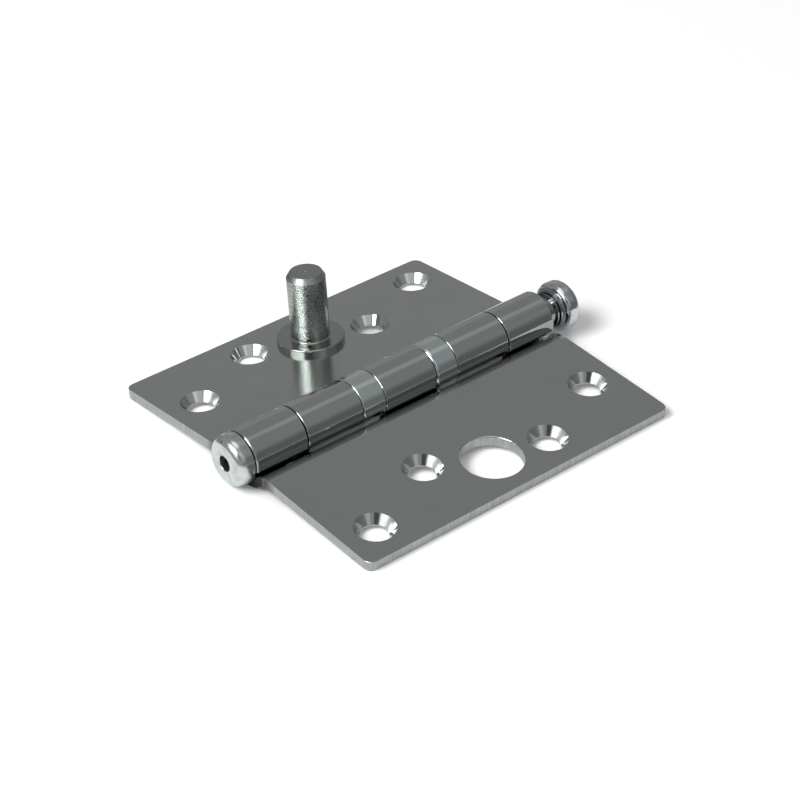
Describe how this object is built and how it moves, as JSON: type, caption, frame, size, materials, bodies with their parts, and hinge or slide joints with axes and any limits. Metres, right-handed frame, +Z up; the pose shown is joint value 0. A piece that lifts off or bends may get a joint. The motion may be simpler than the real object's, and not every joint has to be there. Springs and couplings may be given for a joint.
{
  "type": "ball bearing butt hinge",
  "caption": "Square butt hinge with a loose pin, ball bearings in the barrel, countersunk leaves and a security stud that enters a hole in the other leaf when it shuts.",
  "frame": {"origin": "on the pin axis, at the middle of the leaves' height", "axes": "+Y along the pin to its head, +X to the leaf with the large hole, +Z up from the leaves' backs to their faces"},
  "size_m": [0.0886, 0.1026, 0.0219],
  "materials": {
    "leaf_steel": "polished, slightly hazy face with satin sheared edges",
    "plated_cap": "bright zinc plate",
    "stud_steel": "turned and zinc plated, satin",
    "sleeve_steel": "drawn and polished",
    "bearing_steel": "hardened and ground"
  },
  "bodies": {
    "hole_leaf": {"hole_leaf": "leaf_steel", "bottom_plug": "plated_cap", "bearing_1_upper_race": "bearing_steel", "bearing_2_lower_race": "bearing_steel", "bearing_2_sleeve": "sleeve_steel"},
    "stud_leaf": {"stud_leaf": "leaf_steel", "security_stud": "stud_steel", "bearing_1_lower_race": "bearing_steel", "bearing_1_sleeve": "sleeve_steel", "bearing_2_upper_race": "bearing_steel"},
    "hinge_pin": {"hinge_pin": "plated_cap"},
    "balls_1": {"bearing_1_ball_01": "bearing_steel", "bearing_1_ball_02": "bearing_steel", "bearing_1_ball_03": "bearing_steel", "bearing_1_ball_04": "bearing_steel", "bearing_1_ball_05": "bearing_steel", "bearing_1_ball_06": "bearing_steel", "bearing_1_ball_07": "bearing_steel", "bearing_1_ball_08": "bearing_steel", "bearing_1_ball_09": "bearing_steel", "bearing_1_ball_10": "bearing_steel", "bearing_1_ball_11": "bearing_steel", "bearing_1_ball_12": "bearing_steel", "bearing_1_ball_13": "bearing_steel", "bearing_1_ball_14": "bearing_steel", "bearing_1_ball_15": "bearing_steel", "bearing_1_ball_16": "bearing_steel", "bearing_1_ball_17": "bearing_steel", "bearing_1_ball_18": "bearing_steel"},
    "balls_2": {"bearing_2_ball_01": "bearing_steel", "bearing_2_ball_02": "bearing_steel", "bearing_2_ball_03": "bearing_steel", "bearing_2_ball_04": "bearing_steel", "bearing_2_ball_05": "bearing_steel", "bearing_2_ball_06": "bearing_steel", "bearing_2_ball_07": "bearing_steel", "bearing_2_ball_08": "bearing_steel", "bearing_2_ball_09": "bearing_steel", "bearing_2_ball_10": "bearing_steel", "bearing_2_ball_11": "bearing_steel", "bearing_2_ball_12": "bearing_steel", "bearing_2_ball_13": "bearing_steel", "bearing_2_ball_14": "bearing_steel", "bearing_2_ball_15": "bearing_steel", "bearing_2_ball_16": "bearing_steel", "bearing_2_ball_17": "bearing_steel", "bearing_2_ball_18": "bearing_steel"}
  },
  "joints": [
    {"name": "leaf_swing", "type": "hinge", "parent": "hole_leaf", "child": "stud_leaf", "pos_m": [0, 0, 0], "axis": [0, 1, 0], "range_deg": [-101, 188.11]},
    {"name": "pin_slide", "type": "slide", "parent": "hole_leaf", "child": "hinge_pin", "axis": [0, 1, 0], "range_m": [-0.003, 0.08]},
    {"name": "balls_1_orbit", "type": "hinge", "parent": "hole_leaf", "child": "balls_1", "pos_m": [0, 0, 0], "axis": [0, 1, 0], "range_deg": [-53, 95]},
    {"name": "balls_2_orbit", "type": "hinge", "parent": "hole_leaf", "child": "balls_2", "pos_m": [0, 0, 0], "axis": [0, 1, 0], "range_deg": [-53, 95]}
  ],
  "couplings": [
    {"joint": "balls_1_orbit", "follows": "leaf_swing", "ratio": 0.5},
    {"joint": "balls_2_orbit", "follows": "leaf_swing", "ratio": 0.5}
  ]
}
